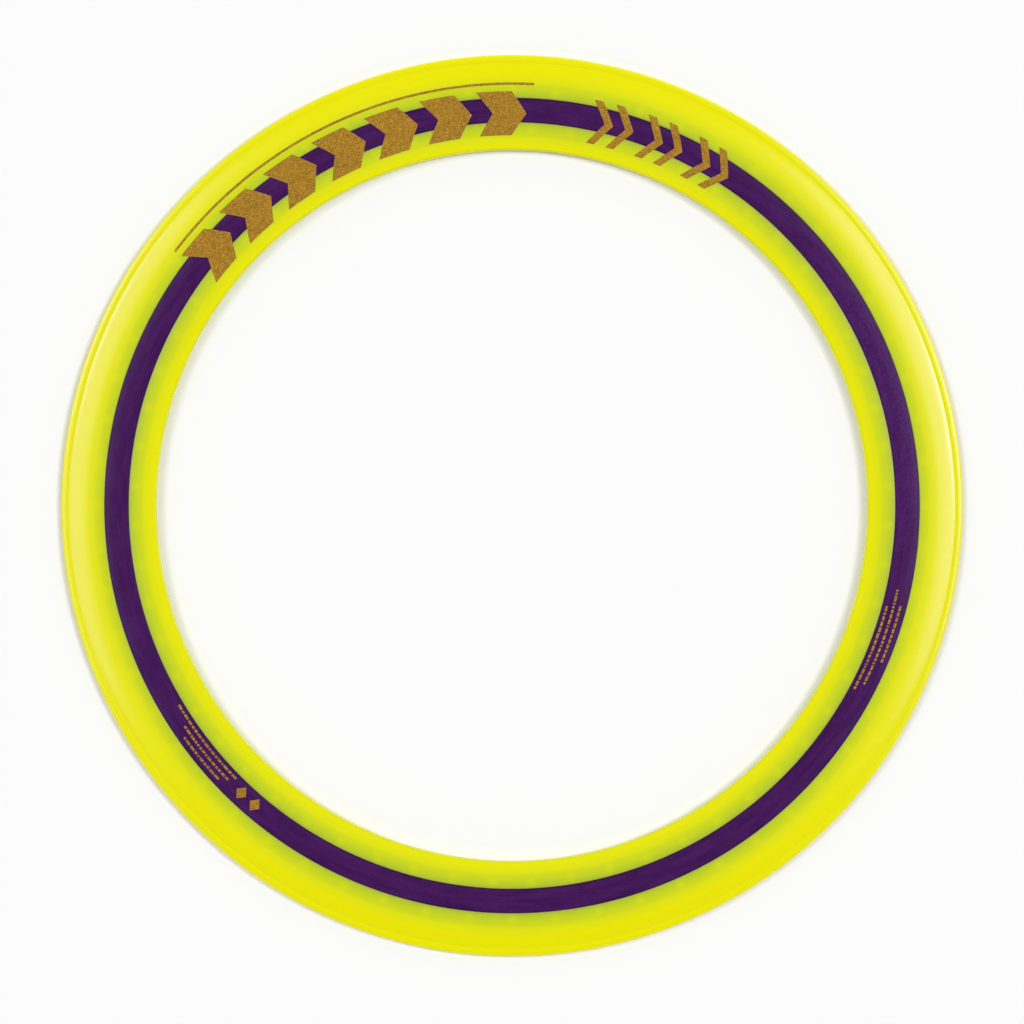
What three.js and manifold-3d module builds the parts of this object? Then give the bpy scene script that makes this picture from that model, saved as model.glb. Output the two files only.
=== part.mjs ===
// A thin flying ring for throwing and catching.
// A hard core ring carries two soft rims that are moulded over it. A perforated flange stands out
// from each side of the core's bare band, and the soft rims grip it through its holes.
// Millimetres, +Z up towards the printed side. The origin is on the ring's axis, on its flat underside.
import * as THREE from "three";
import { mergeGeometries, mergeVertices } from "three/addons/utils/BufferGeometryUtils.js";
import Module from "manifold-3d";

const wasm = await Module();
wasm.setup();

// Overall sizes
const outerDiameter = 330.2; // 13 inches across the lip
const outerRimWidth = 16.0; // from the band to the edge of the lip
const bandWidth = 8.8; // the part of the core that stays bare
const innerRimWidth = 10.2; // from the band to the opening in the middle
const bandThickness = 3.6; // the core's band, and both rims where they meet it

// Core flanges, buried in the rims
const flangeWidth = 5.2;
const flangeRootThickness = 2.2; // at the band
const flangeTipThickness = 1.2;
const holeCount = 60; // in each flange
const holeDiameter = 3.0;
const holeSides = 8;

// Outer rim
const lipRound = 1.9; // from the lip's outer side to its top
const lipDepth = 0.9; // height of that side
const lipUnderside = 5.1; // width of the rounded stretch below it
const lipEnd = THREE.MathUtils.degToRad(110); // where the round stops, past the top at 90
const lipStand = 0.05; // top of the lip above the edge of the groove
const grooveWidth = 0.5; // from the end of the lip's round to the sloping top
const grooveHandle = 0.2; // the longer this is, the sharper the groove
const grooveEdgeDrop = 1.2; // fall of the top from the band to the edge of the groove
const grooveSlope = 0.325; // slope of the top at that edge

// Inner rim
const noseWidth = 0.5; // rounded stretch at the opening
const noseDrop = 0.2; // fall of the top from the band to the nose

const bondGap = 0.1; // between a rim and the core all round
const ringSegments = 60;
const curveDivisions = 4;

// Radii and levels that follow from them
const outerRadius = outerDiameter / 2;
const bandOuterRadius = outerRadius - outerRimWidth;
const bandInnerRadius = bandOuterRadius - bandWidth;
const openingRadius = bandInnerRadius - innerRimWidth;
const middleHeight = bandThickness / 2;
const grooveEdgeHeight = bandThickness - grooveEdgeDrop;
const lipHeight = grooveEdgeHeight + lipStand;
const noseHeight = bandThickness - noseDrop;
const flangeHoleThickness = (flangeRootThickness + flangeTipThickness) / 2;
const outerHolesRadius = bandOuterRadius + flangeWidth / 2;
const innerHolesRadius = bandInnerRadius - flangeWidth / 2;
const holePitch = (2 * Math.PI) / holeCount;

// A closed geometry as a solid that can be cut and joined.
function solidOf(geometry) {
  const bare = geometry.clone();
  bare.deleteAttribute("normal");
  bare.deleteAttribute("uv");
  const merged = mergeVertices(bare);
  const mesh = new wasm.Mesh({
    numProp: 3,
    vertProperties: merged.attributes.position.array,
    triVerts: new Uint32Array(merged.index.array),
  });
  return new wasm.Manifold(mesh);
}

function geometryOf(solid) {
  const mesh = solid.getMesh();
  const geometry = new THREE.BufferGeometry();
  geometry.setAttribute("position", new THREE.BufferAttribute(mesh.vertProperties, 3));
  geometry.setIndex(new THREE.BufferAttribute(mesh.triVerts, 1));
  return geometry;
}

// Spins a closed section, drawn as radius and height, about the ring's axis.
function spin(section) {
  const points = section.getPoints(curveDivisions);
  return solidOf(new THREE.LatheGeometry(points, ringSegments).rotateX(Math.PI / 2));
}

// Upright pegs, one for each hole of a flange. The first one stands at firstAngle.
function pegs(radius, height, circleRadius, firstAngle) {
  const each = [];
  for (let i = 0; i < holeCount; i += 1) {
    const peg = new THREE.CylinderGeometry(radius, radius, height, holeSides);
    peg.rotateX(Math.PI / 2);
    peg.translate(circleRadius, 0, middleHeight);
    peg.rotateZ(firstAngle + i * holePitch);
    each.push(peg);
  }
  return solidOf(mergeGeometries(each));
}

const outerPegs = (radius, height) => pegs(radius, height, outerHolesRadius, 0);
const innerPegs = (radius, height) => pegs(radius, height, innerHolesRadius, holePitch / 2);

// The core's section: the band with a tapering flange on each side. Grown, it is the rims' pocket.
function coreSection(grow) {
  const tipHalf = flangeTipThickness / 2 + grow;
  const rootHalf = flangeRootThickness / 2 + grow;
  const innerTip = bandInnerRadius - flangeWidth - grow;
  const innerRoot = bandInnerRadius - grow;
  const outerRoot = bandOuterRadius + grow;
  const outerTip = bandOuterRadius + flangeWidth + grow;
  const section = new THREE.Shape();
  section.moveTo(innerTip, middleHeight - tipHalf);
  section.lineTo(innerRoot, middleHeight - rootHalf);
  section.lineTo(innerRoot, -grow);
  section.lineTo(outerRoot, -grow);
  section.lineTo(outerRoot, middleHeight - rootHalf);
  section.lineTo(outerTip, middleHeight - tipHalf);
  section.lineTo(outerTip, middleHeight + tipHalf);
  section.lineTo(outerRoot, middleHeight + rootHalf);
  section.lineTo(outerRoot, bandThickness + grow);
  section.lineTo(innerRoot, bandThickness + grow);
  section.lineTo(innerRoot, middleHeight + rootHalf);
  section.lineTo(innerTip, middleHeight + tipHalf);
  section.closePath();
  return section;
}

// The outer rim's outline: flat below, rounded up to the lip, then a groove and a crowned
// top that rises to the band.
function outerRimSection() {
  const flatEnd = outerRadius - lipUnderside;
  const lipLevel = lipHeight - lipDepth;
  const lipTop = outerRadius - lipRound;
  const lipFoot = lipTop + lipRound * Math.cos(lipEnd);
  const lipFootHeight = lipLevel + lipDepth * Math.sin(lipEnd);
  const lipFootSlope = -lipDepth / (lipRound * Math.tan(lipEnd));
  const grooveEdge = lipFoot - grooveWidth;
  const crownRun = grooveEdge - bandOuterRadius;
  const crownOuterHandle = 0.23 * crownRun;
  const crownInnerHandle = 0.45 * crownRun;
  const section = new THREE.Shape();
  section.moveTo(bandOuterRadius, 0);
  section.lineTo(flatEnd, 0);
  section.absellipse(flatEnd, lipLevel, lipUnderside, lipLevel, -Math.PI / 2, 0);
  section.absellipse(lipTop, lipLevel, lipRound, lipDepth, 0, lipEnd);
  section.bezierCurveTo(
    lipFoot - grooveHandle,
    lipFootHeight - lipFootSlope * grooveHandle,
    grooveEdge + grooveHandle,
    grooveEdgeHeight - grooveSlope * grooveHandle,
    grooveEdge,
    grooveEdgeHeight,
  );
  section.bezierCurveTo(
    grooveEdge - crownOuterHandle,
    grooveEdgeHeight + grooveSlope * crownOuterHandle,
    bandOuterRadius + crownInnerHandle,
    bandThickness,
    bandOuterRadius,
    bandThickness,
  );
  section.closePath();
  return section;
}

// The inner rim's outline: flat below, a slight fall on top, and a rounded nose at the opening.
function innerRimSection() {
  const noseRoot = openingRadius + noseWidth;
  const noseLevel = noseHeight / 2;
  const section = new THREE.Shape();
  section.moveTo(bandInnerRadius, 0);
  section.lineTo(bandInnerRadius, bandThickness);
  section.lineTo(noseRoot, noseHeight);
  section.absellipse(noseRoot, noseLevel, noseWidth, noseLevel, Math.PI / 2, (3 * Math.PI) / 2);
  section.closePath();
  return section;
}

function coreRing() {
  const holes = outerPegs(holeDiameter / 2, bandThickness).add(
    innerPegs(holeDiameter / 2, bandThickness),
  );
  return spin(coreSection(0)).subtract(holes);
}

// A rim is its outline with the core's pocket taken out and a plug through each hole. A plug
// ends halfway through the skin above and below the flange.
const plugRadius = holeDiameter / 2 - bondGap;
const plugHeight = (bandThickness + flangeHoleThickness) / 2;

function outerRim() {
  const shell = spin(outerRimSection()).subtract(spin(coreSection(bondGap)));
  return shell.add(outerPegs(plugRadius, plugHeight));
}

function innerRim() {
  const shell = spin(innerRimSection()).subtract(spin(coreSection(bondGap)));
  return shell.add(innerPegs(plugRadius, plugHeight));
}

const hardPlastic = new THREE.MeshStandardMaterial({
  color: 0x441d59,
  roughness: 0.38,
  metalness: 0,
});
const softRubber = new THREE.MeshStandardMaterial({
  color: 0xebe712,
  roughness: 0.5,
  metalness: 0,
});

function piece(name, solid, material) {
  const mesh = new THREE.Mesh(geometryOf(solid), material);
  mesh.name = name;
  return mesh;
}

const group = new THREE.Group();
group.name = "flying_ring";
group.add(piece("core_ring", coreRing(), hardPlastic));
group.add(piece("outer_rim", outerRim(), softRubber));
group.add(piece("inner_rim", innerRim(), softRubber));

export default group;
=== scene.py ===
import math

import bpy
import numpy as np
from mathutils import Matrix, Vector


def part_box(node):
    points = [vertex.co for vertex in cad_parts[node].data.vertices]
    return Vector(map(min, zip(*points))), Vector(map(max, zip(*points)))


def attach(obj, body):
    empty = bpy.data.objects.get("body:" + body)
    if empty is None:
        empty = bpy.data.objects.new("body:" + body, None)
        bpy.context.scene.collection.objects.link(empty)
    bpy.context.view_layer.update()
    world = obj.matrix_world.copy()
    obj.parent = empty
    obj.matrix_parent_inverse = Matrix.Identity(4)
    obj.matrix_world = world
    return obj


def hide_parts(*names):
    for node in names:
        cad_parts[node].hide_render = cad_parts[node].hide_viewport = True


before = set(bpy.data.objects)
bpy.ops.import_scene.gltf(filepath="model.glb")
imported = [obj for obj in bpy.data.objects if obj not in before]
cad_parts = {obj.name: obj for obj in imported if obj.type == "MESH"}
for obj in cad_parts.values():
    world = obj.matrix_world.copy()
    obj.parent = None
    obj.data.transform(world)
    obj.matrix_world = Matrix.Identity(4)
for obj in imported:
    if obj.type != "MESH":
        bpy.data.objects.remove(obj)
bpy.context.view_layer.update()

# A thin throwing ring seen from straight above: a purple core between two soft yellow rims,
# with gold print on top. Everything is in metres, in the frame's own place.

mm = 0.001
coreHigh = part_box("core_ring")[1]
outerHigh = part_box("outer_rim")[1]
cornerAngle = math.radians(32)  # faces that meet at more than this keep a crease

ring = {
    "segments": 720,
    "outerRadius": outerHigh.x,
    "thickness": coreHigh.z,
    "outerRimWidth": 16.0 * mm,
    "bandWidth": 8.8 * mm,
    "innerRimWidth": 10.2 * mm,
    "bondLine": 0.05 * mm,  # hairline between a rim and the core
}
bandOuter = ring["outerRadius"] - ring["outerRimWidth"]
bandInner = bandOuter - ring["bandWidth"]
bandMiddle = (bandOuter + bandInner) / 2
openingRadius = bandInner - ring["innerRimWidth"]
middleHeight = ring["thickness"] / 2

flange = {
    "width": coreHigh.x - bandOuter,
    "rootHalf": 1.1 * mm,
    "tipHalf": 0.6 * mm,
    "holeCount": 60,
    "holeRadius": 1.5 * mm,
    "holeSides": 24,
}
holePitch = 2 * math.pi / flange["holeCount"]
print("frame loaded: band from %.1f to %.1f mm" % (bandInner / mm, bandOuter / mm))


# Points round part of an ellipse: centre plus the two radii times the cosine and sine.
def arcPoints(centre, radii, start, end, steps):
    turn = np.radians(np.linspace(start, end, steps + 1))
    x = centre[0] + radii[0] * np.cos(turn)
    y = centre[1] + radii[1] * np.sin(turn)
    return np.stack([x, y], axis=1)


# Points on a cubic Bezier curve: the four control points weighted by the Bernstein polynomials.
def bezierPoints(first, pullA, pullB, last, steps):
    t = np.linspace(0, 1, steps + 1)[:, None]
    one = 1 - t
    ends = one**3 * np.array(first) + t**3 * np.array(last)
    return ends + 3 * one**2 * t * np.array(pullA) + 3 * one * t**2 * np.array(pullB)


# One closed outline from several stretches, with points that repeat where stretches meet dropped.
def joinOutline(*stretches):
    points = np.vstack([np.atleast_2d(s) for s in stretches])
    gaps = np.linalg.norm(points - np.roll(points, 1, axis=0), axis=1)
    return points[gaps > 1e-7]


# A finished object from vertices and faces, smooth except at true corners.
def makePiece(name, vertices, faces):
    mesh = bpy.data.meshes.new(name)
    mesh.from_pydata(vertices.tolist(), [], faces)
    mesh.shade_smooth()
    mesh.set_sharp_from_angle(angle=cornerAngle)
    mesh.update()
    piece = bpy.data.objects.new(name, mesh)
    bpy.context.scene.collection.objects.link(piece)
    return piece


# An outline turned about the vertical axis: x and y are its radius times the cosine and sine of
# the turn, z is its height. Both ways of the grid close on themselves.
def turnOutline(name, outline):
    turns, points = ring["segments"], len(outline)
    angle = np.arange(turns) * 2 * math.pi / turns
    radius, height = outline[:, 0], outline[:, 1]
    x = np.outer(np.cos(angle), radius)
    y = np.outer(np.sin(angle), radius)
    z = np.broadcast_to(height, x.shape)
    vertices = np.stack([x, y, z], axis=2).reshape(-1, 3)
    i, j = np.meshgrid(np.arange(turns), np.arange(points), indexing="ij")
    nextI, nextJ = (i + 1) % turns, (j + 1) % points
    corners = [i * points + j, nextI * points + j, nextI * points + nextJ, i * points + nextJ]
    quads = np.stack(corners, axis=2).reshape(-1, 4)
    return makePiece(name, vertices, quads.tolist())


# Upright pegs at the holes of one flange. Each is a circle of points at two heights, shut by a
# fan to a middle point at either end.
def makePegs(radius, halfHeight, circle, firstAngle):
    sides, count = flange["holeSides"], flange["holeCount"]
    around = np.arange(sides) * 2 * math.pi / sides
    place = firstAngle + np.arange(count)[:, None] * holePitch
    rimX = circle * np.cos(place) + radius * np.cos(around + place)
    rimY = circle * np.sin(place) + radius * np.sin(around + place)
    low, high = middleHeight - halfHeight, middleHeight + halfHeight
    lowRim = np.stack([rimX, rimY, np.full_like(rimX, low)], axis=2)
    highRim = np.stack([rimX, rimY, np.full_like(rimX, high)], axis=2)
    middle = np.stack([circle * np.cos(place), circle * np.sin(place), 0 * place], axis=2)
    lowEnd, highEnd = middle + [0, 0, low], middle + [0, 0, high]
    vertices = np.concatenate([lowRim, highRim, lowEnd, highEnd], axis=1).reshape(-1, 3)
    here = np.arange(sides)
    after = (here + 1) % sides
    walls = np.stack([here, after, after + sides, here + sides], axis=1)
    lowFan = np.stack([after, here, np.full(sides, 2 * sides)], axis=1)
    highFan = np.stack([here + sides, after + sides, np.full(sides, 2 * sides + 1)], axis=1)
    starts = np.arange(count)[:, None, None] * (2 * sides + 2)
    quads = (walls + starts).reshape(-1, 4).tolist()
    fans = (np.concatenate([lowFan, highFan]) + starts).reshape(-1, 3).tolist()
    return makePiece("pegs", vertices, quads + fans)


# Makes a piece's modifiers part of its mesh, and marks the corners of the result.
def settle(piece):
    finished = piece.evaluated_get(bpy.context.evaluated_depsgraph_get())
    result = bpy.data.meshes.new_from_object(finished)
    result.name = piece.name
    piece.modifiers.clear()
    piece.data = result
    result.shade_smooth()
    result.set_sharp_from_angle(angle=cornerAngle)
    return piece


# Cuts the pegs out of a piece, or joins them to it, for good.
def combine(piece, pegs, operation):
    modifier = piece.modifiers.new("pegs", "BOOLEAN")
    modifier.operation = operation
    modifier.solver = "EXACT"
    modifier.object = pegs
    settle(piece)
    bpy.data.objects.remove(pegs)


# Where the two flanges' holes are: the circle they sit on and the angle of the first.
outerHoles = (bandOuter + flange["width"] / 2, 0.0)
innerHoles = (bandInner - flange["width"] / 2, holePitch / 2)

core = {"edge": 0.2 * mm, "edgeSteps": 4}


# The core's outline: the band's four rounded edges, with a tapering flange between them each side.
def coreOutline():
    edge, steps, top = core["edge"], core["edgeSteps"], ring["thickness"]
    tip, root = flange["tipHalf"], flange["rootHalf"]
    low, high = edge, top - edge
    left, right = bandInner + edge, bandOuter - edge
    innerTip, outerTip = bandInner - flange["width"], bandOuter + flange["width"]
    return joinOutline(
        (innerTip, middleHeight - tip),
        (bandInner, middleHeight - root),
        arcPoints((left, low), (edge, edge), 180, 270, steps),
        arcPoints((right, low), (edge, edge), 270, 360, steps),
        (bandOuter, middleHeight - root),
        (outerTip, middleHeight - tip),
        (outerTip, middleHeight + tip),
        (bandOuter, middleHeight + root),
        arcPoints((right, high), (edge, edge), 0, 90, steps),
        arcPoints((left, high), (edge, edge), 90, 180, steps),
        (bandInner, middleHeight + root),
        (innerTip, middleHeight + tip),
    )


outerRim = {
    "underside": 5.1 * mm,
    "lipRound": 1.9 * mm,  # from the lip's outer side to its top
    "lipDepth": 0.9 * mm,  # height of that side
    "lipEnd": 110,  # degrees, where the round stops, past the top at 90
    "lipStand": 0.05 * mm,  # top of the lip above the edge of the groove
    "grooveWidth": 0.5 * mm,  # from the end of the lip's round to the crowned top
    "grooveHandle": 0.2 * mm,  # the longer this is, the sharper the groove
    "grooveEdgeDrop": 1.2 * mm,  # fall of the top from the band to the edge of the groove
    "grooveSlope": 0.325,  # slope of the top at that edge
    "crownOuterPull": 0.23,  # handles of the crown's curve, as shares of its width
    "crownInnerPull": 0.45,
    "edge": 0.25 * mm,  # small round where the rim meets the band
    "undersideSteps": 16,
    "lipSteps": 20,
    "grooveSteps": 10,
    "crownSteps": 24,
    "edgeSteps": 5,
}
lipWidth = outerRim["lipRound"] * (1 - math.cos(math.radians(outerRim["lipEnd"])))


# The outer rim's crowned top, from the edge of the groove up to the band.
def crownPoints():
    grooveEdge = ring["outerRadius"] - lipWidth - outerRim["grooveWidth"]
    level = ring["thickness"] - outerRim["grooveEdgeDrop"]
    start = bandOuter + ring["bondLine"] + outerRim["edge"]
    run = grooveEdge - start
    pull = outerRim["crownOuterPull"] * run
    return bezierPoints(
        (grooveEdge, level),
        (grooveEdge - pull, level + outerRim["grooveSlope"] * pull),
        (start + outerRim["crownInnerPull"] * run, ring["thickness"]),
        (start, ring["thickness"]),
        outerRim["crownSteps"],
    )


# The outer rim's outline: flat below, rounded up to the lip, the groove, the crown, then down
# the bond to the pocket that holds the flange.
def outerRimOutline():
    gap, edge, steps = ring["bondLine"], outerRim["edge"], outerRim["edgeSteps"]
    crown = crownPoints()
    grooveEdge, grooveLevel = crown[0]
    lipTop = grooveLevel + outerRim["lipStand"]
    lipLevel = lipTop - outerRim["lipDepth"]
    underRadii = (outerRim["underside"], lipLevel)
    underCentre = (ring["outerRadius"] - underRadii[0], lipLevel)
    lipRadii = (outerRim["lipRound"], outerRim["lipDepth"])
    lipCentre = (ring["outerRadius"] - lipRadii[0], lipLevel)
    lip = arcPoints(lipCentre, lipRadii, 0, outerRim["lipEnd"], outerRim["lipSteps"])
    lipSlope = -lipRadii[1] / (lipRadii[0] * math.tan(math.radians(outerRim["lipEnd"])))
    pull = outerRim["grooveHandle"]
    wall = bandOuter + gap
    tipWall = bandOuter + flange["width"] + gap
    root, tip = flange["rootHalf"] + gap, flange["tipHalf"] + gap
    return joinOutline(
        arcPoints((wall + edge, edge), (edge, edge), 180, 270, steps),
        arcPoints(underCentre, underRadii, -90, 0, outerRim["undersideSteps"]),
        lip,
        bezierPoints(
            lip[-1],
            lip[-1] - (pull, pull * lipSlope),
            (grooveEdge + pull, grooveLevel - pull * outerRim["grooveSlope"]),
            (grooveEdge, grooveLevel),
            outerRim["grooveSteps"],
        ),
        crown,
        arcPoints((wall + edge, ring["thickness"] - edge), (edge, edge), 90, 180, steps),
        (wall, middleHeight + root),
        (tipWall, middleHeight + tip),
        (tipWall, middleHeight - tip),
        (wall, middleHeight - root),
    )


innerRim = {
    "noseWidth": 0.5 * mm,  # rounded stretch at the opening
    "noseDrop": 0.2 * mm,  # fall of the top from the band to the nose
    "edge": 0.25 * mm,
    "noseSteps": 28,
    "edgeSteps": 5,
}


# The inner rim's outline: the nose is half an ellipse, the underside is flat, and the top falls
# a little from the band to the nose.
def innerRimOutline():
    gap, edge, steps = ring["bondLine"], innerRim["edge"], innerRim["edgeSteps"]
    width = innerRim["noseWidth"]
    noseHalf = (ring["thickness"] - innerRim["noseDrop"]) / 2
    noseCentre = (openingRadius + width, noseHalf)
    wall = bandInner - gap
    tipWall = bandInner - flange["width"] - gap
    root, tip = flange["rootHalf"] + gap, flange["tipHalf"] + gap
    return joinOutline(
        arcPoints(noseCentre, (width, noseHalf), 90, 270, innerRim["noseSteps"]),
        arcPoints((wall - edge, edge), (edge, edge), 270, 360, steps),
        (wall, middleHeight - root),
        (tipWall, middleHeight - tip),
        (tipWall, middleHeight + tip),
        (wall, middleHeight + root),
        arcPoints((wall - edge, ring["thickness"] - edge), (edge, edge), 0, 90, steps),
    )


corePiece = turnOutline("core_ring_fine", coreOutline())
for holes in (outerHoles, innerHoles):
    combine(corePiece, makePegs(flange["holeRadius"], ring["thickness"], *holes), "DIFFERENCE")

# A plug ends halfway through the skin above and below the flange.
plugRadius = flange["holeRadius"] - ring["bondLine"]
plugHalf = (ring["thickness"] + flange["rootHalf"] + flange["tipHalf"]) / 4
outerPiece = turnOutline("outer_rim_fine", outerRimOutline())
combine(outerPiece, makePegs(plugRadius, plugHalf, *outerHoles), "UNION")
innerPiece = turnOutline("inner_rim_fine", innerRimOutline())
combine(innerPiece, makePegs(plugRadius, plugHalf, *innerHoles), "UNION")
print("core and rims made")


# The height of the ring's top at any radius, read off the inner rim, the band and the crown.
def topHeight(radius):
    crown = crownPoints()[::-1]
    noseRoot = openingRadius + innerRim["noseWidth"]
    noseTop = ring["thickness"] - innerRim["noseDrop"]
    knownRadius = np.concatenate([[noseRoot, bandInner], crown[:, 0]])
    knownHeight = np.concatenate([[noseTop, ring["thickness"]], crown[:, 1]])
    return np.interp(radius, knownRadius, knownHeight)


# Ink patches on the top, as thin shells. The arrays have one row per patch, then a grid: along is
# the distance clockwise on the band's middle circle, and its angle is that over the radius there.
def layInk(name, along, radius):
    angle = -along / bandMiddle
    z = topHeight(radius) + ink["lift"]
    vertices = np.stack([radius * np.cos(angle), radius * np.sin(angle), z], axis=3)
    patches, rows, columns = along.shape
    i, j = np.meshgrid(np.arange(rows - 1), np.arange(columns - 1), indexing="ij")
    corner = i * columns + j
    quads = [corner, corner + columns, corner + columns + 1, corner + 1]
    starts = np.arange(patches)[:, None, None] * rows * columns
    faces = np.stack(quads, axis=2).reshape(-1, 4) + starts
    piece = makePiece(name, vertices.reshape(-1, 3), faces.reshape(-1, 4).tolist())
    film = piece.modifiers.new("film", "SOLIDIFY")
    film.thickness = ink["film"]
    film.offset = 1
    return settle(piece)


# The distance along the band's middle circle to an angle counted anticlockwise from the right.
def arcLength(degrees):
    return -math.radians(degrees) * bandMiddle


ink = {
    "lift": 0.01 * mm,  # of the film's underside above the rubber
    "film": 0.02 * mm,
    "bottom": 135.5 * mm,  # radii between which the chevrons lie
    "top": 151.6 * mm,
    "point": 5.5 * mm,
    "boldCount": 7,
    "boldStart": 143.0,  # degrees
    "boldPitch": 8.0,
    "boldWidth": 12.5 * mm,
    "thinCount": 3,
    "thinStart": 78.5,
    "thinPitch": 7.7,
    "thinWidth": 3.2 * mm,
    "thinGap": 4.6 * mm,
    "stripeRadius": 154.4 * mm,
    "stripeWidth": 0.9 * mm,
    "stripeEnd": 87.0,
    "strokePoints": 5,  # grid points across a stroke
    "chevronPoints": 25,
    "stripePoints": 241,
    "lowPoints": 3,  # across the pinstripe and up a dash
}


# Chevrons that point clockwise: across is spread over the stroke, and every point is pushed
# forward by the share of the way from the nearer end to the middle of the height.
def chevrons(name, starts, width):
    across = np.linspace(0, 1, ink["strokePoints"])[None, :, None]
    up = np.linspace(0, 1, ink["chevronPoints"])[None, None, :]
    forward = ink["point"] * (1 - abs(2 * up - 1))
    along = starts[:, None, None] + width * across + forward
    radius = ink["bottom"] + (ink["top"] - ink["bottom"]) * up + 0 * along
    return layInk(name, along, radius)


# Starts of marks at an even pitch along the band's middle circle.
def pitched(first, pitch, count):
    return arcLength(first) + np.arange(count) * math.radians(pitch) * bandMiddle


boldStarts = pitched(ink["boldStart"], ink["boldPitch"], ink["boldCount"])
boldPrint = chevrons("print_bold_chevrons", boldStarts, ink["boldWidth"])
thinStarts = pitched(ink["thinStart"], ink["thinPitch"], ink["thinCount"])
secondStarts = thinStarts + ink["thinWidth"] + ink["thinGap"]
thinPairs = np.sort(np.concatenate([thinStarts, secondStarts]))
thinPrint = chevrons("print_thin_chevrons", thinPairs, ink["thinWidth"])


# A plain line concentric with the ring, outside the chevrons.
def pinstripe(name):
    first, last = arcLength(ink["boldStart"]), arcLength(ink["stripeEnd"])
    along = np.linspace(first, last, ink["stripePoints"])[None, :, None]
    across = ink["stripeWidth"] * np.linspace(-0.5, 0.5, ink["lowPoints"])[None, None, :]
    return layInk(name, along + 0 * across, ink["stripeRadius"] + across + 0 * along)


stripePrint = pinstripe("print_pinstripe")

dashes = {
    "rows": (142.0 * mm, 144.4 * mm, 146.8 * mm),
    "height": 0.85 * mm,
    "shortest": 0.5 * mm,
    "longest": 2.2 * mm,
    "gap": 0.5 * mm,
    "leftRows": ((224.7, 210.1), (224.0, 213.8), (223.0, 215.2)),  # degrees, for each row
    "rightRows": ((-29.0, -15.0), (-27.5, -12.3), (-23.5, -14.5)),
    "leftSeed": 4,
    "rightSeed": 9,
}


# Rows of plain dashes of mixed lengths, where fine print would be. In each row the dashes follow
# one another along the circle, a gap apart.
def dashRows(name, spans, seed):
    random = np.random.default_rng(seed)
    starts, lengths, radii = [], [], []
    for radius, (first, last) in zip(dashes["rows"], spans):
        low, high = sorted((arcLength(first), arcLength(last)))
        most = int((high - low) / (dashes["shortest"] + dashes["gap"]))
        length = random.uniform(dashes["shortest"], dashes["longest"], most)
        start = low + np.concatenate([[0], np.cumsum(length + dashes["gap"])[:-1]])
        keep = start + length < high
        starts.append(start[keep])
        lengths.append(length[keep])
        radii.append(np.full(keep.sum(), radius))
    start, length, middle = (np.concatenate(v)[:, None, None] for v in (starts, lengths, radii))
    across = np.linspace(0, 1, ink["strokePoints"])[None, :, None]
    up = np.linspace(-0.5, 0.5, ink["lowPoints"])[None, None, :]
    along = start + length * across + 0 * up
    return layInk(name, along, middle + dashes["height"] * up + 0 * across)


leftDashes = dashRows("print_dashes_left", dashes["leftRows"], dashes["leftSeed"])
rightDashes = dashRows("print_dashes_right", dashes["rightRows"], dashes["rightSeed"])

lozenge = {
    "angles": (229.3, 226.7),
    "halfWidth": 2.3 * mm,
    "halfHeight": 2.7 * mm,
    "radius": 144.4 * mm,
    "blunt": 0.98,  # how far towards each point the shape goes, so that its faces keep some width
    "points": 15,
}


# Plain lozenges: the width at any height is the half width times one less the share of the way
# from the middle to the nearer point.
def lozenges(name):
    middle = np.array([arcLength(angle) for angle in lozenge["angles"]])[:, None, None]
    across = np.linspace(-1, 1, ink["strokePoints"])[None, :, None]
    up = np.linspace(-lozenge["blunt"], lozenge["blunt"], lozenge["points"])[None, None, :]
    along = middle + lozenge["halfWidth"] * across * (1 - abs(up))
    return layInk(name, along, lozenge["radius"] + lozenge["halfHeight"] * up + 0 * along)


lozengePrint = lozenges("print_lozenges")
inkPieces = [boldPrint, thinPrint, stripePrint, leftDashes, rightDashes, lozengePrint]
print("print laid on the top")


# A value on its way through a node tree, so that shader maths reads as ordinary arithmetic.
class Wire:
    def __init__(self, book, socket):
        self.book = book
        self.socket = socket

    def maths(self, operation, other=None, swapped=False):
        values = [self] if other is None else [self, other]
        if swapped:
            values.reverse()
        return self.book.add("Math", {"operation": operation}, dict(enumerate(values)))

    def __add__(self, other):
        return self.maths("ADD", other)

    def __sub__(self, other):
        return self.maths("SUBTRACT", other)

    def __mul__(self, other):
        return self.maths("MULTIPLY", other)

    def __truediv__(self, other):
        return self.maths("DIVIDE", other)

    def __radd__(self, other):
        return self.maths("ADD", other, True)

    def __rsub__(self, other):
        return self.maths("SUBTRACT", other, True)

    def __rmul__(self, other):
        return self.maths("MULTIPLY", other, True)

    def __rtruediv__(self, other):
        return self.maths("DIVIDE", other, True)


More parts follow.
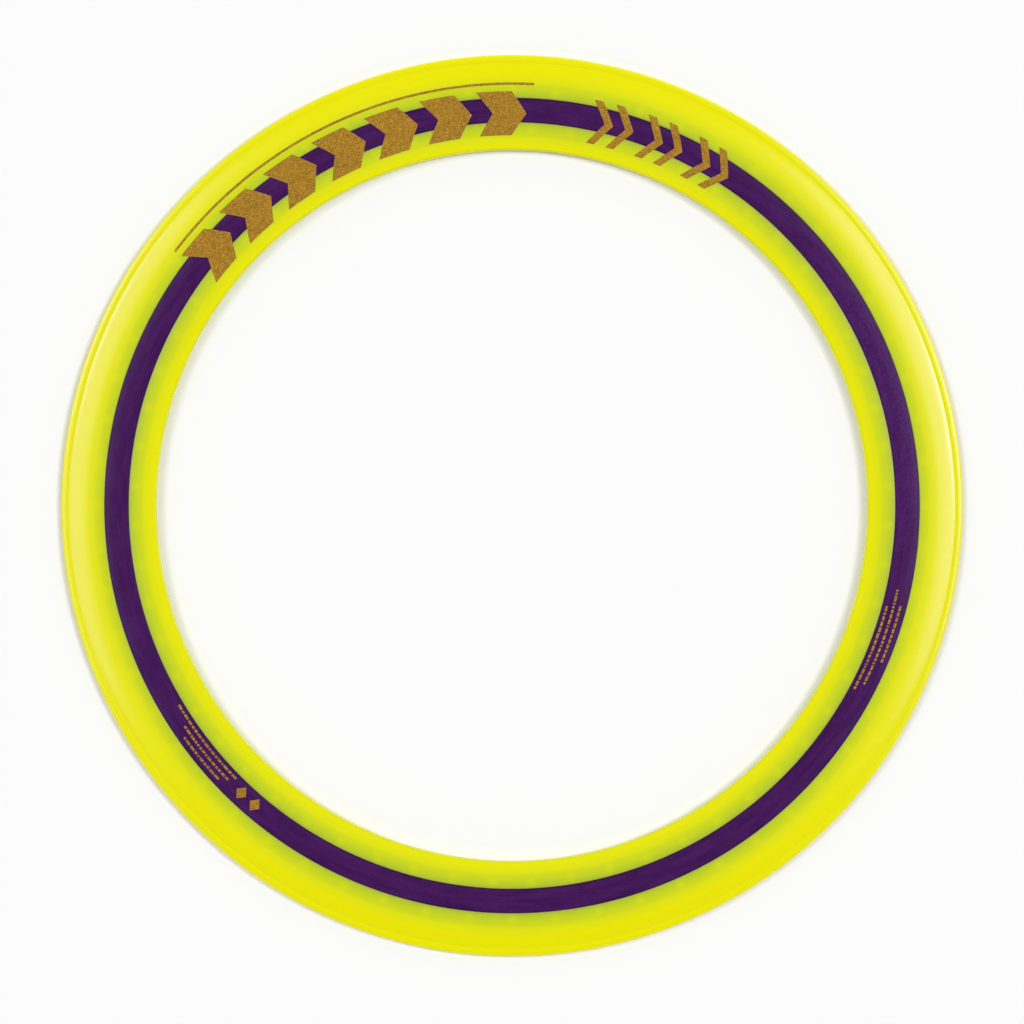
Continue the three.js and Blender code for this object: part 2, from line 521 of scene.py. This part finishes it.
# One node tree. add() takes a node's type, its settings, and the values or wires of its sockets.
class NodeBook:
    def __init__(self, tree):
        self.tree = tree
        tree.nodes.clear()

    def add(self, kind, settings=None, sockets=None, result=0):
        node = self.tree.nodes.new("ShaderNode" + kind)
        for name, value in (settings or {}).items():
            if name == "stops":
                self.setStops(node.color_ramp, value)
            else:
                setattr(node, name, value)
        for name, value in (sockets or {}).items():
            if isinstance(value, Wire):
                self.tree.links.new(value.socket, node.inputs[name])
            else:
                node.inputs[name].default_value = value
        return Wire(self, node.outputs[result]) if node.outputs else None

    def setStops(self, ramp, stops):
        while len(ramp.elements) < len(stops):
            ramp.elements.new(1.0)
        for element, (position, colour) in zip(ramp.elements, stops):
            element.position = position
            element.color = (*colour, 1)

    # A smooth rise from 0 to 1 as the value goes from low to high.
    def rise(self, value, low, high):
        sockets = {"Value": value, "From Min": low, "From Max": high}
        return self.add("MapRange", {"interpolation_type": "SMOOTHSTEP"}, sockets)

    # A blend of two colours: the first where the share is 0, the second where it is 1.
    def mix(self, share, first, second):
        first, second = (c if isinstance(c, Wire) else (*c, 1) for c in (first, second))
        return self.add("Mix", {"data_type": "RGBA"}, {0: share, 6: first, 7: second}, 2)

    def noise(self, place, scale, detail=2.0, roughness=0.5):
        sockets = {"Vector": place, "Scale": scale, "Detail": detail, "Roughness": roughness}
        return self.add("TexNoise", None, sockets)

    def bump(self, height, strength, distance):
        sockets = {"Height": height, "Strength": strength, "Distance": distance}
        return self.add("Bump", None, sockets)

    # The three numbers of a place or a direction.
    def split(self, vector):
        node = self.add("SeparateXYZ", None, {"Vector": vector}).socket.node
        return [Wire(self, output) for output in node.outputs]


# A new material, its book, and the place of each of the object's points.
def startMaterial(name):
    material = bpy.data.materials.new(name)
    material.use_nodes = True
    book = NodeBook(material.node_tree)
    return material, book, book.add("TexCoord", None, None, 3)


# Where a point is on the ring: its radius is the root of x squared plus y squared, and its angle
# is the arc tangent of y over x.
def ringPlace(book, place):
    x, y = book.split(place)[:2]
    return (x * x + y * y).maths("SQRT"), y.maths("ARCTAN2", x)


def finishMaterial(book, sockets):
    surface = book.add("BsdfPrincipled", None, sockets)
    book.add("OutputMaterial", None, {"Surface": surface})


# How far a point is from the nearest hole of the flange beside it. Along the circle it is the
# angle within one pitch times the radius, and the inner holes are half a pitch round.
def holeDistance(book, radius, angle, fromBand):
    inside = radius.maths("LESS_THAN", bandMiddle)
    turn = angle / holePitch + 0.5 * inside + 0.5
    along = (turn.maths("FRACT") - 0.5) * holePitch * radius
    off = fromBand - flange["width"] / 2
    return (along * along + off * off).maths("SQRT")


rubber = {
    "reach": 9.0 * mm,  # past this far from the band the core no longer darkens the rubber
    "depths": (
        (0.0, (0.415, 0.490, 0.044)),
        (0.17, (0.504, 0.620, 0.028)),
        (0.33, (0.585, 0.677, 0.020)),
        (0.50, (0.655, 0.716, 0.014)),
        (0.67, (0.758, 0.782, 0.009)),
        (1.0, (0.843, 0.812, 0.002)),
    ),
    "clear": (0.843, 0.812, 0.002),
    "cloudScale": 38.0,
    "cloudShift": 0.8 * mm,
    "paintedSideLight": 0.3 * mm,  # painted light: on the left and right the rubber's colour is lightened as if this much further out
    "outerPaintedSideLight": 1.5 * mm,  # and the outer rim gets more of this painted light
    "holeShare": 0.24,
    "holeEdge": (0.2 * mm, 3.0 * mm),
    "seamShade": (0.36, 0.36, 0.10),  # along the edge that meets the band
    "seamShare": 0.45,
    "seamEdge": (0.1 * mm, 0.75 * mm),
    "nose": (0.62, 0.68, 0.0),  # painted shade along the opening, darkening the rim's rounded edge
    "noseShare": 0.6,
    "noseEdge": (0.2 * mm, 1.2 * mm),
    "fineScale": 1500.0,
    "fineHeight": 0.08,
    "swellScale": 160.0,
    "bumpStrength": 0.10,
    "bumpDepth": 0.25 * mm,
    "roughness": 0.19,
    "roughnessSpread": 0.10,
}


# Soft yellow rubber. It is clear enough for the flange to show through as green, most where it
# is thickest at the band, and less at each hole, where a yellow plug goes right through. The
# sides are where the cosine of the angle, squared, is near 1: there the colour is painted
# lighter, as painted light from the lamps on the left and right, the outer rim most.
def softRubber():
    material, book, place = startMaterial("soft_rubber")
    radius, angle = ringPlace(book, place)
    fromBand = (radius - bandMiddle).maths("ABSOLUTE") - ring["bandWidth"] / 2
    cloud = book.noise(place, rubber["cloudScale"], 3.0)
    # Painted light: on the left and right, towards the lamps, the colour is lightened by moving it
    # along the ramp.
    sides = angle.maths("COSINE") * angle.maths("COSINE")
    outside = radius.maths("GREATER_THAN", bandMiddle)
    paintedSideLight = sides * (outside * rubber["outerPaintedSideLight"] + rubber["paintedSideLight"])
    wander = fromBand + (cloud - 0.5) * rubber["cloudShift"] + paintedSideLight
    ramp = book.add("ValToRGB", {"stops": rubber["depths"]}, {"Fac": wander / rubber["reach"]})
    holes = 1 - book.rise(holeDistance(book, radius, angle, fromBand), *rubber["holeEdge"])
    colour = book.mix(holes * rubber["holeShare"], ramp, rubber["clear"])
    seam = 1 - book.rise(fromBand, *rubber["seamEdge"])
    colour = book.mix(seam * rubber["seamShare"], colour, rubber["seamShade"])
    # Painted shade: the colour darkens towards the opening, to tone down the light on the rim's
    # rounded edge.
    noseStart, noseEnd = (openingRadius + reach for reach in rubber["noseEdge"])
    nose = 1 - book.rise(radius, noseStart, noseEnd)
    colour = book.mix(nose * rubber["noseShare"], colour, rubber["nose"])
    fine = book.noise(place, rubber["fineScale"])
    swell = book.noise(place, rubber["swellScale"])
    height = fine * rubber["fineHeight"] + swell
    finishMaterial(book, {
        "Base Color": colour,
        "Roughness": rubber["roughness"] + (fine - 0.5) * rubber["roughnessSpread"],
        "Specular IOR Level": 0.6,
        "Specular Tint": (0.50, 0.42, 1.0, 1.0),
        "Subsurface Weight": 0.35,
        "Subsurface Radius": (1.0, 0.9, 0.15),
        "Subsurface Scale": 1.2 * mm,
        "Normal": book.bump(height, rubber["bumpStrength"], rubber["bumpDepth"]),
    })
    return material


plastic = {
    "deep": (0.043, 0.0058, 0.075),
    "pale": (0.062, 0.0110, 0.100),
    "flowAcross": 420.0,  # noise cells to the metre
    "flowAlong": 9.0,  # noise cells to the radian
    "scratchAcross": 5200.0,
    "scratchAlong": 45.0,
    "scratchEdge": (0.60, 0.78),
    "scratchShare": 0.18,
    "worn": (0.14, 0.05, 0.22),
    "gateAngle": 15.7,
    "gateRadius": 144.4 * mm,
    "gateSize": 2.6 * mm,
    "gateEdge": (0.08 * mm, 0.35 * mm),
    "gateShare": 0.14,
    # paler purple: partly scuffing, partly painted sheen on the right towards the right-hand lamps
    "scuffsAndSheen": (0.105, 0.027, 0.170),
    "scuffSheenScale": 900.0,
    "scuffSheenShare": 0.45,
    "scuffSheenReach": (15 * mm, 110 * mm),  # from the gate: where the scuffed and sheen-painted patch starts and ends its fade
    "edgeShade": (0.020, 0.006, 0.020),
    "edgeShare": 0.7,
    "edgeWidths": (0.55 * mm, 0.1 * mm),
    "grainScale": 2600.0,
    "bumpStrength": 0.12,
    "bumpDepth": 0.12 * mm,
    "roughness": 0.26,
}


# A place stretched along the ring, for noise that is drawn out that way.
def drawnOut(book, radius, angle, across, along):
    return book.add("CombineXYZ", None, {"X": radius * across, "Y": angle * along, "Z": 0.0})


# Hard purple plastic: faint flow clouds drawn out along the ring, fine scratches, the round
# witness of the moulding gate, and a paler mottled patch about the gate on the right, partly
# scuffing and partly painted sheen from the right-hand lamps.
def hardPlastic():
    material, book, place = startMaterial("hard_plastic")
    radius, angle = ringPlace(book, place)
    drawn = drawnOut(book, radius, angle, plastic["flowAcross"], plastic["flowAlong"])
    flow = book.noise(drawn, 1.0, 4.0, 0.6)
    colour = book.mix(book.rise(flow, 0.3, 0.7), plastic["deep"], plastic["pale"])
    stroke = drawnOut(book, radius, angle, plastic["scratchAcross"], plastic["scratchAlong"])
    scratch = book.rise(book.noise(stroke, 1.0, 2.0, 0.6), *plastic["scratchEdge"])
    gate = math.radians(plastic["gateAngle"])
    gateX = plastic["gateRadius"] * math.cos(gate)
    gateY = plastic["gateRadius"] * math.sin(gate)
    places = {0: place, 1: (gateX, gateY, ring["thickness"])}
    fromGate = book.add("VectorMath", {"operation": "DISTANCE"}, places, 1)
    fromRim = (fromGate - plastic["gateSize"]).maths("ABSOLUTE")
    witness = 1 - book.rise(fromRim, *plastic["gateEdge"])
    wear = scratch * plastic["scratchShare"] + witness * plastic["gateShare"]
    colour = book.mix(wear, colour, plastic["worn"])
    # Scuffs and painted sheen: paler mottled patches about the gate, fading away from it, on the
    # right where the lamps are.
    patches = book.rise(book.noise(place, plastic["scuffSheenScale"], 3.0), 0.30, 0.75)
    scuffsAndSheen = patches * (1 - book.rise(fromGate, *plastic["scuffSheenReach"]))
    colour = book.mix(scuffsAndSheen * plastic["scuffSheenShare"], colour, plastic["scuffsAndSheen"])
    fromMiddle = (radius - bandMiddle).maths("ABSOLUTE")
    edgeStart, edgeEnd = (ring["bandWidth"] / 2 - width for width in plastic["edgeWidths"])
    edge = book.rise(fromMiddle, edgeStart, edgeEnd)
    colour = book.mix(edge * plastic["edgeShare"], colour, plastic["edgeShade"])
    grain = book.noise(place, plastic["grainScale"])
    height = grain * 0.5 - witness * 0.8 - scratch * 0.3
    finishMaterial(book, {
        "Base Color": colour,
        "Roughness": plastic["roughness"] + scratch * 0.15 + (grain - 0.5) * 0.08,
        "Specular IOR Level": 0.16,
        "Normal": book.bump(height, plastic["bumpStrength"], plastic["bumpDepth"]),
    })
    return material


gold = {
    "dark": (0.085, 0.034, 0.002),
    "light": (0.70, 0.370, 0.015),
    "grainSize": 0.34 * mm,
    "flakeSize": 0.13 * mm,
    "cloudScale": 260.0,
    "cloudEdge": (0.35, 0.75),
    "cloudShare": 0.12,
    "metallic": 0.45,
    "roughness": 0.42,
    "roughnessSpread": 0.16,
    "bumpStrength": 0.25,
    "bumpDepth": 0.03 * mm,
}


# Random brightness in cells of one size.
def cells(book, place, size):
    cell = book.add("TexVoronoi", None, {"Vector": place, "Scale": 1 / size}, 1)
    return book.add("SeparateColor", None, {"Color": cell})


# Printed gold ink: clumps and the tiny flakes in them each have a brightness of their own, and
# the film is worn a little thin in places.
def goldInk():
    material, book, place = startMaterial("gold_ink")
    clump = cells(book, place, gold["grainSize"])
    flake = cells(book, place, gold["flakeSize"])
    tone = (clump + flake) * 0.5
    colour = book.mix(tone, gold["dark"], gold["light"])
    cloud = book.rise(book.noise(place, gold["cloudScale"], 3.0), *gold["cloudEdge"])
    colour = book.mix(cloud * gold["cloudShare"], colour, gold["dark"])
    finishMaterial(book, {
        "Base Color": colour,
        "Metallic": gold["metallic"],
        "Roughness": gold["roughness"] + tone * gold["roughnessSpread"],
        "Normal": book.bump(tone, gold["bumpStrength"], gold["bumpDepth"]),
    })
    return material


def dress(piece, material):
    piece.data.materials.clear()
    piece.data.materials.append(material)
    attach(piece, "root")


rubberMaterial = softRubber()
dress(outerPiece, rubberMaterial)
dress(innerPiece, rubberMaterial)
dress(corePiece, hardPlastic())
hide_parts("outer_rim")
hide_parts("inner_rim")
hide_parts("core_ring")
goldMaterial = goldInk()
for printed in inkPieces:
    dress(printed, goldMaterial)
print("materials made")

studio = {
    "floorHalf": 30.0,
    "floorDrop": 0.2 * mm,
    "floorColour": (0.93, 0.93, 0.93),
    "floorCloudScale": 3.0,
    "floorCloudShare": 0.02,
    "lampDistance": 2.0,
    "lamps": (  # name, turn, tilt from straight up, spread, strength
        ("lamp_right_wide", 12.0, 33.0, 38.0, 1.08),
        ("lamp_right_bright", 12.0, 43.0, 17.0, 0.66),
        ("lamp_left_wide", 169.0, 33.0, 38.0, 0.86),
        ("lamp_left_bright", 157.0, 46.0, 20.0, 0.54),
    ),
    "dome": (  # height of the direction, brightness
        (0.0, 0.95),
        (0.10, 0.90),
        (0.22, 0.76),
        (0.38, 0.74),
        (0.60, 0.26),
        (0.79, 0.02),
        (1.0, 0.0),
    ),
}


# A wide flat floor just under the ring, almost one even tone.
def paleFloor():
    half = studio["floorHalf"]
    corners = np.array([(-half, -half), (half, -half), (half, half), (-half, half)])
    heights = np.full((4, 1), -studio["floorDrop"])
    floor = makePiece("floor", np.hstack([corners, heights]), [[0, 1, 2, 3]])
    material, book, place = startMaterial("floor_paint")
    share = book.noise(place, studio["floorCloudScale"]) * studio["floorCloudShare"]
    tone = book.mix(share, studio["floorColour"], (1, 1, 1))
    finishMaterial(book, {"Base Color": tone, "Roughness": 0.9, "Specular IOR Level": 0.1})
    floor.data.materials.append(material)


# A big soft lamp far away. Its direction leans from straight up by the tilt, towards the turn.
def softLamp(name, turn, tilt, spread, strength):
    lamp = bpy.data.lights.new(name, "SUN")
    lamp.angle = math.radians(spread)
    lamp.energy = strength
    holder = bpy.data.objects.new(name, lamp)
    bpy.context.scene.collection.objects.link(holder)
    turn, tilt = math.radians(turn), math.radians(tilt)
    lean = math.sin(tilt)
    way = Vector((lean * math.cos(turn), lean * math.sin(turn), math.cos(tilt)))
    holder.location = way * studio["lampDistance"]
    holder.rotation_euler = way.to_track_quat("Z", "X").to_euler()


# The room: bright low down all round and dark overhead, by the height of the direction.
def dome():
    world = bpy.data.worlds.new("room")
    world.use_nodes = True
    bpy.context.scene.world = world
    book = NodeBook(world.node_tree)
    way = book.add("TexCoord", None, None, 0)
    height = book.split(way)[2]
    stops = [(position, (level,) * 3) for position, level in studio["dome"]]
    light = book.add("ValToRGB", {"stops": stops}, {"Fac": height})
    background = book.add("Background", None, {"Color": light})
    book.add("OutputWorld", None, {"Surface": background})


paleFloor()
for lampValues in studio["lamps"]:
    softLamp(*lampValues)
dome()

shot = {
    "distance": 1.5,
    "down": -2.34 * mm,
    "across": 374.6 * mm,  # width shown at the ring's top
    "sensor": 36.0,
}


# A camera that looks straight down, with the lens that shows the wanted width at the ring's top.
def topCamera():
    camera = bpy.data.cameras.new("camera")
    camera.sensor_width = shot["sensor"]
    camera.lens = shot["sensor"] * (shot["distance"] - ring["thickness"]) / shot["across"]
    holder = bpy.data.objects.new("camera", camera)
    holder.location = (0.0, shot["down"], shot["distance"])
    bpy.context.scene.collection.objects.link(holder)
    bpy.context.scene.camera = holder


topCamera()
bpy.context.scene.view_settings.view_transform = "Standard"
print("studio ready")
